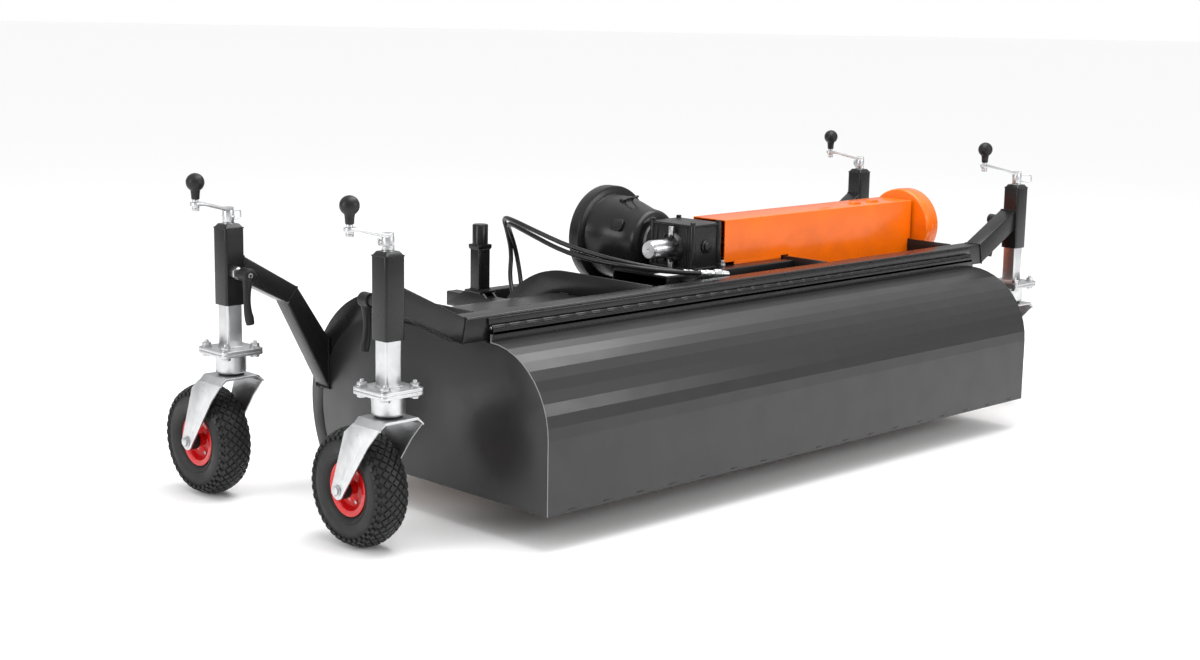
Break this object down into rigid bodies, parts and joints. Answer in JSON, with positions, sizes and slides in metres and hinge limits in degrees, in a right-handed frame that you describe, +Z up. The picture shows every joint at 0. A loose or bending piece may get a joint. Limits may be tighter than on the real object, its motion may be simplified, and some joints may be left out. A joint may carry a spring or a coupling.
{
  "type": "lawn sweeper",
  "caption": "Tractor-driven rotary lawn sweeper: hooded brush roller with hinged front flap, shaft drive and crank-adjusted castor legs.",
  "frame": {"origin": "bottom centre of the whole machine's box, on the ground", "axes": "+X along the working width, +Y towards the carrier vehicle, +Z up; the flap faces -Y"},
  "size_m": [2.4905, 1.128, 0.7615],
  "materials": {
    "black_paint": "satin powder coat",
    "zinc": "bright zinc plate",
    "orange_paint": "gloss powder coat",
    "black_cast": "painted casting",
    "black_plastic": "moulded matt plastic",
    "red_paint": "gloss paint",
    "tyre_rubber": "tread rubber",
    "hose_rubber": "hydraulic hose cover",
    "bristle": "polypropylene bristle",
    "steel": "turned steel"
  },
  "bodies": {
    "chassis": {"front_beam": "black_paint", "left_side_plate": "black_paint", "right_side_plate": "black_paint", "hood": "black_paint", "hood_ribs": "black_paint", "hinge_pin": "zinc", "gearbox": "black_cast", "bell_bracket": "zinc", "pto_bell": "black_plastic", "shaft_cap": "zinc", "gearbox_bridge": "black_paint", "shaft_cover": "orange_paint", "chain_case": "orange_paint", "chain": "steel", "brush_bearings": "black_paint", "hitch_frame": "black_paint", "pressure_hose": "hose_rubber", "return_hose": "hose_rubber", "hose_couplings": "zinc", "front_left_arm": "black_paint", "front_right_arm": "black_paint", "rear_left_arm": "black_paint", "rear_right_arm": "black_paint"},
    "flap": {"flap": "black_paint"},
    "brush": {"brush_core": "steel", "bristles": "bristle"},
    "cross_shaft": {"drive_shaft": "steel"},
    "pto": {"pto_shaft": "steel"},
    "front_left_leg": {"front_left_leg": "zinc", "front_left_castor_head": "zinc"},
    "front_left_fork": {"front_left_fork": "zinc"},
    "front_left_wheel": {"front_left_rim": "red_paint", "front_left_tyre": "tyre_rubber"},
    "front_left_crank": {"front_left_crank": "zinc"},
    "front_left_knob": {"front_left_crank_knob": "black_plastic"},
    "front_left_lever": {"front_left_clamp_lever": "black_plastic"},
    "front_right_leg": {"front_right_leg": "zinc", "front_right_castor_head": "zinc"},
    "front_right_fork": {"front_right_fork": "zinc"},
    "front_right_wheel": {"front_right_rim": "red_paint", "front_right_tyre": "tyre_rubber"},
    "front_right_crank": {"front_right_crank": "zinc"},
    "front_right_knob": {"front_right_crank_knob": "black_plastic"},
    "front_right_lever": {"front_right_clamp_lever": "black_plastic"},
    "rear_left_leg": {"rear_left_leg": "zinc", "rear_left_castor_head": "zinc"},
    "rear_left_fork": {"rear_left_fork": "zinc"},
    "rear_left_wheel": {"rear_left_rim": "red_paint", "rear_left_tyre": "tyre_rubber"},
    "rear_left_crank": {"rear_left_crank": "zinc"},
    "rear_left_knob": {"rear_left_crank_knob": "black_plastic"},
    "rear_left_lever": {"rear_left_clamp_lever": "black_plastic"},
    "rear_right_leg": {"rear_right_leg": "zinc", "rear_right_castor_head": "zinc"},
    "rear_right_fork": {"rear_right_fork": "zinc"},
    "rear_right_wheel": {"rear_right_rim": "red_paint", "rear_right_tyre": "tyre_rubber"},
    "rear_right_crank": {"rear_right_crank": "zinc"},
    "rear_right_knob": {"rear_right_crank_knob": "black_plastic"},
    "rear_right_lever": {"rear_right_clamp_lever": "black_plastic"}
  },
  "joints": [
    {"name": "flap_hinge", "type": "hinge", "parent": "chassis", "child": "flap", "pos_m": [0.026, -0.374, 0.457], "axis": [-1, 0, 0], "range_deg": [0, 75]},
    {"name": "brush_spin", "type": "hinge", "parent": "chassis", "child": "brush", "pos_m": [0.026, -0.009, 0.245], "axis": [1, 0, 0], "continuous": true},
    {"name": "cross_shaft_spin", "type": "hinge", "parent": "chassis", "child": "cross_shaft", "pos_m": [0.026, -0.111, 0.532], "axis": [1, 0, 0], "continuous": true},
    {"name": "pto_spin", "type": "hinge", "parent": "chassis", "child": "pto", "pos_m": [0.026, 0.034, 0.532], "axis": [0, 1, 0], "continuous": true},
    {"name": "front_left_crank_turn", "type": "hinge", "parent": "chassis", "child": "front_left_crank", "pos_m": [-1.122, -0.349, 0.65], "axis": [0, 0, 1], "range_deg": [-4320, 7200]},
    {"name": "front_left_leg_slide", "type": "slide", "parent": "chassis", "child": "front_left_leg", "axis": [0, 0, 1], "range_m": [-0.048, 0.08]},
    {"name": "front_left_castor_swivel", "type": "hinge", "parent": "front_left_leg", "child": "front_left_fork", "pos_m": [-1.122, -0.349, 0.33], "axis": [0, 0, 1], "continuous": true},
    {"name": "front_left_wheel_spin", "type": "hinge", "parent": "front_left_fork", "child": "front_left_wheel", "pos_m": [-1.122, -0.249, 0.13], "axis": [1, 0, 0], "continuous": true},
    {"name": "front_left_knob_spin", "type": "hinge", "parent": "front_left_crank", "child": "front_left_knob", "pos_m": [-1.218, -0.349, 0.741], "axis": [0, 0, 1], "continuous": true},
    {"name": "front_left_clamp_turn", "type": "hinge", "parent": "chassis", "child": "front_left_lever", "pos_m": [-1.122, -0.269, 0.533], "axis": [0, 1, 0], "range_deg": [-60, 60]},
    {"name": "front_right_crank_turn", "type": "hinge", "parent": "chassis", "child": "front_right_crank", "pos_m": [1.174, -0.349, 0.65], "axis": [0, 0, 1], "range_deg": [-4320, 7200]},
    {"name": "front_right_leg_slide", "type": "slide", "parent": "chassis", "child": "front_right_leg", "axis": [0, 0, 1], "range_m": [-0.048, 0.08]},
    {"name": "front_right_castor_swivel", "type": "hinge", "parent": "front_right_leg", "child": "front_right_fork", "pos_m": [1.174, -0.349, 0.33], "axis": [0, 0, 1], "continuous": true},
    {"name": "front_right_wheel_spin", "type": "hinge", "parent": "front_right_fork", "child": "front_right_wheel", "pos_m": [1.174, -0.249, 0.13], "axis": [1, 0, 0], "continuous": true},
    {"name": "front_right_knob_spin", "type": "hinge", "parent": "front_right_crank", "child": "front_right_knob", "pos_m": [1.10266, -0.28476, 0.741], "axis": [0, 0, 1], "continuous": true},
    {"name": "front_right_clamp_turn", "type": "hinge", "parent": "chassis", "child": "front_right_lever", "pos_m": [1.174, -0.269, 0.533], "axis": [0, 1, 0], "range_deg": [-60, 60]},
    {"name": "rear_left_crank_turn", "type": "hinge", "parent": "chassis", "child": "rear_left_crank", "pos_m": [-1.126, 0.22, 0.65], "axis": [0, 0, 1], "range_deg": [-4320, 7200]},
    {"name": "rear_left_leg_slide", "type": "slide", "parent": "chassis", "child": "rear_left_leg", "axis": [0, 0, 1], "range_m": [-0.048, 0.08]},
    {"name": "rear_left_castor_swivel", "type": "hinge", "parent": "rear_left_leg", "child": "rear_left_fork", "pos_m": [-1.126, 0.22, 0.33], "axis": [0, 0, 1], "continuous": true},
    {"name": "rear_left_wheel_spin", "type": "hinge", "parent": "rear_left_fork", "child": "rear_left_wheel", "pos_m": [-1.126, 0.32, 0.13], "axis": [1, 0, 0], "continuous": true},
    {"name": "rear_left_knob_spin", "type": "hinge", "parent": "rear_left_crank", "child": "rear_left_knob", "pos_m": [-1.22054, 0.20333, 0.741], "axis": [0, 0, 1], "continuous": true},
    {"name": "rear_left_clamp_turn", "type": "hinge", "parent": "chassis", "child": "rear_left_lever", "pos_m": [-1.126, 0.14, 0.533], "axis": [0, -1, 0], "range_deg": [-60, 60]},
    {"name": "rear_right_crank_turn", "type": "hinge", "parent": "chassis", "child": "rear_right_crank", "pos_m": [1.178, 0.22, 0.65], "axis": [0, 0, 1], "range_deg": [-4320, 7200]},
    {"name": "rear_right_leg_slide", "type": "slide", "parent": "chassis", "child": "rear_right_leg", "axis": [0, 0, 1], "range_m": [-0.048, 0.08]},
    {"name": "rear_right_castor_swivel", "type": "hinge", "parent": "rear_right_leg", "child": "rear_right_fork", "pos_m": [1.178, 0.22, 0.33], "axis": [0, 0, 1], "continuous": true},
    {"name": "rear_right_wheel_spin", "type": "hinge", "parent": "rear_right_fork", "child": "rear_right_wheel", "pos_m": [1.178, 0.32, 0.13], "axis": [1, 0, 0], "continuous": true},
    {"name": "rear_right_knob_spin", "type": "hinge", "parent": "rear_right_crank", "child": "rear_right_knob", "pos_m": [1.09936, 0.27506, 0.741], "axis": [0, 0, 1], "continuous": true},
    {"name": "rear_right_clamp_turn", "type": "hinge", "parent": "chassis", "child": "rear_right_lever", "pos_m": [1.178, 0.14, 0.533], "axis": [0, -1, 0], "range_deg": [-60, 60]}
  ],
  "couplings": [
    {"joint": "cross_shaft_spin", "follows": "brush_spin", "ratio": 2.3077},
    {"joint": "pto_spin", "follows": "brush_spin", "ratio": -2.3077},
    {"joint": "front_left_leg_slide", "follows": "front_left_crank_turn", "m_per_rad": 0.00063662},
    {"joint": "front_right_leg_slide", "follows": "front_right_crank_turn", "m_per_rad": 0.00063662},
    {"joint": "rear_left_leg_slide", "follows": "rear_left_crank_turn", "m_per_rad": 0.00063662},
    {"joint": "rear_right_leg_slide", "follows": "rear_right_crank_turn", "m_per_rad": 0.00063662}
  ]
}
